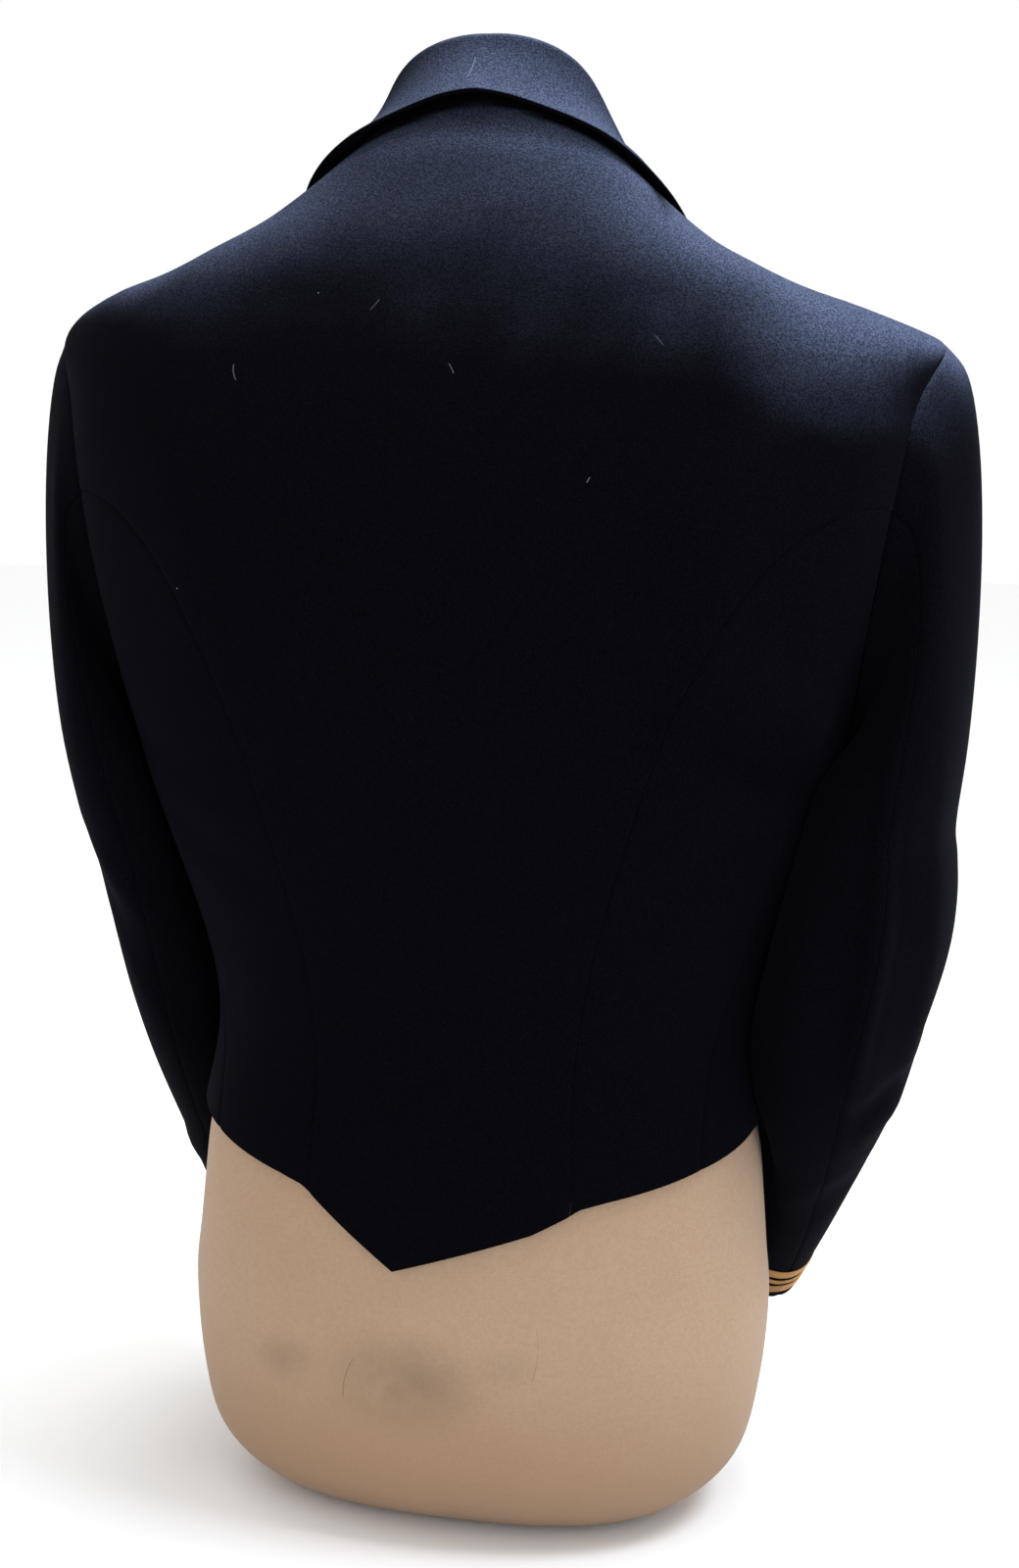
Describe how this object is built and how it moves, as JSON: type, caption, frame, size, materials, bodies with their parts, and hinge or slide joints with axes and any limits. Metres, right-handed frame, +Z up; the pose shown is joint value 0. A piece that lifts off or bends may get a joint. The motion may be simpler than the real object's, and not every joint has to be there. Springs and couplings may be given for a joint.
{
  "type": "mess jacket on a limbless dress form",
  "caption": "Short waist-length uniform jacket with a pointed hem, turned collar, lapels and banded cuffs, worn open on a smooth limbless torso form that stands on its flat base.",
  "frame": {"origin": "middle of the dress form's flat underside, on the surface that it stands on", "axes": "+Z up; the front of the jacket faces -Y; +X is the wearer's left"},
  "size_m": [0.504, 0.3013, 0.7839],
  "materials": {
    "navy wool": "fine napped wool, matt, with a faint blue-grey sheen where light grazes it",
    "gold lace": "woven gold thread braid, soft metallic glint",
    "gilt metal": "plain polished gilt",
    "form canvas": "tight smooth canvas skin, matt, lightly marked"
  },
  "bodies": {
    "root": {"dress_form": "form canvas", "back": "navy wool", "side_body_left": "navy wool", "side_body_right": "navy wool", "front_left": "navy wool", "front_right": "navy wool", "collar": "navy wool", "lapel_left": "navy wool", "lapel_right": "navy wool", "top_sleeve_left": "navy wool", "top_sleeve_right": "navy wool", "under_sleeve_left": "navy wool", "under_sleeve_right": "navy wool", "cuff_lace_lower_left": "gold lace", "cuff_lace_middle_left": "gold lace", "cuff_lace_upper_left": "gold lace", "cuff_lace_lower_right": "gold lace", "cuff_lace_middle_right": "gold lace", "cuff_lace_upper_right": "gold lace", "button_left_1": "gilt metal", "button_left_2": "gilt metal", "button_left_3": "gilt metal", "button_right_1": "gilt metal", "button_right_2": "gilt metal", "button_right_3": "gilt metal"}
  },
  "joints": []
}
